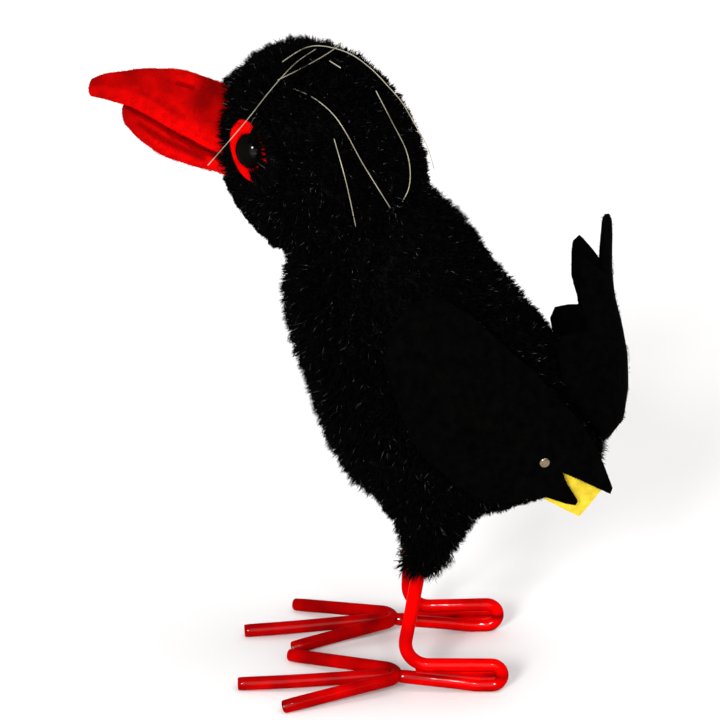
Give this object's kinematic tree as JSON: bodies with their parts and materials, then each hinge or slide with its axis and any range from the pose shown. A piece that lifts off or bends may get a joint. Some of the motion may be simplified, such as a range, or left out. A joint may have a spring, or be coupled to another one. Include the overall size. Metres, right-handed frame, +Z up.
{
  "type": "stuffed toy bird",
  "caption": "Stuffed raven toy with a turning head, felt wings and tail, and wire legs in soft plastic sleeves.",
  "frame": {"origin": "middle of the bounding box at the height of the toes and heels, on the surface that the bird stands on", "axes": "+Z up; the beak points along -Y; the bird's left side is +X"},
  "size_m": [0.066, 0.1346, 0.166],
  "materials": {
    "pile_cloth": "black pile cloth",
    "black_felt": "black felt",
    "red_felt": "red felt",
    "red_sleeve": "glossy translucent red plastic",
    "stuffing": "loose fibre",
    "steel": "bare steel wire",
    "brass": "polished",
    "hardboard": "hardboard",
    "eye_glass": "solid black, polished",
    "tag": "yellow strip, blank",
    "nylon": "pale stiff strand"
  },
  "bodies": {
    "root": {"body_cover": "pile_cloth", "body_neck_disc": "hardboard", "body_neck_washer": "steel", "body_stuffing": "stuffing", "left_leg_sleeve": "red_sleeve", "left_leg_wire": "steel", "left_middle_toe_sleeve": "red_sleeve", "left_side_toe_sleeve": "red_sleeve", "left_side_toe_wire": "steel", "left_thigh_cover": "pile_cloth", "left_thigh_stuffing": "stuffing", "right_leg_sleeve": "red_sleeve", "right_leg_wire": "steel", "right_middle_toe_sleeve": "red_sleeve", "right_side_toe_sleeve": "red_sleeve", "right_side_toe_wire": "steel", "right_thigh_cover": "pile_cloth", "right_thigh_stuffing": "stuffing"},
    "head": {"head_cover": "pile_cloth", "head_neck_disc": "hardboard", "head_neck_washer": "steel", "head_stuffing": "stuffing", "left_eye": "eye_glass", "left_eye_ring": "red_felt", "left_eye_shank": "steel", "lower_beak_felt": "red_felt", "lower_beak_stuffing": "stuffing", "neck_split_pin": "steel", "nylon_strand_1": "nylon", "nylon_strand_2": "nylon", "nylon_strand_3": "nylon", "nylon_strand_4": "nylon", "nylon_strand_5": "nylon", "nylon_strand_6": "nylon", "nylon_strand_7": "nylon", "right_eye": "eye_glass", "right_eye_ring": "red_felt", "right_eye_shank": "steel", "upper_beak_felt": "red_felt", "upper_beak_stuffing": "stuffing"},
    "left_wing": {"left_wing_felt": "black_felt", "wing_button": "brass", "wing_button_back": "brass"},
    "right_wing": {"right_wing_felt": "black_felt"},
    "tail": {"tail_felt": "black_felt"},
    "tag": {"tag": "tag"}
  },
  "joints": [
    {"name": "head_swivel", "type": "hinge", "parent": "root", "child": "head", "pos_m": [0, -0.0017, 0.1215], "axis": [0, -0.392, 0.92], "continuous": true},
    {"name": "left_wing_lift", "type": "hinge", "parent": "root", "child": "left_wing", "pos_m": [0.02566, 0.00642, 0.10163], "axis": [0, -0.676, -0.7369], "range_deg": [0, 60], "stiffness_Nm_per_rad": 0.004},
    {"name": "right_wing_lift", "type": "hinge", "parent": "root", "child": "right_wing", "pos_m": [-0.02566, 0.00642, 0.10163], "axis": [0, 0.676, 0.7369], "range_deg": [0, 60], "stiffness_Nm_per_rad": 0.004},
    {"name": "tail_flex", "type": "hinge", "parent": "root", "child": "tail", "pos_m": [0, 0.0613, 0.0625], "axis": [-1, 0, 0], "range_deg": [0, 20], "stiffness_Nm_per_rad": 0.1},
    {"name": "tag_swivel", "type": "hinge", "parent": "left_wing", "child": "tag", "pos_m": [0.02767, 0.04437, 0.06682], "axis": [0.9809, 0.1432, -0.1314], "range_deg": [-12, 12]}
  ]
}
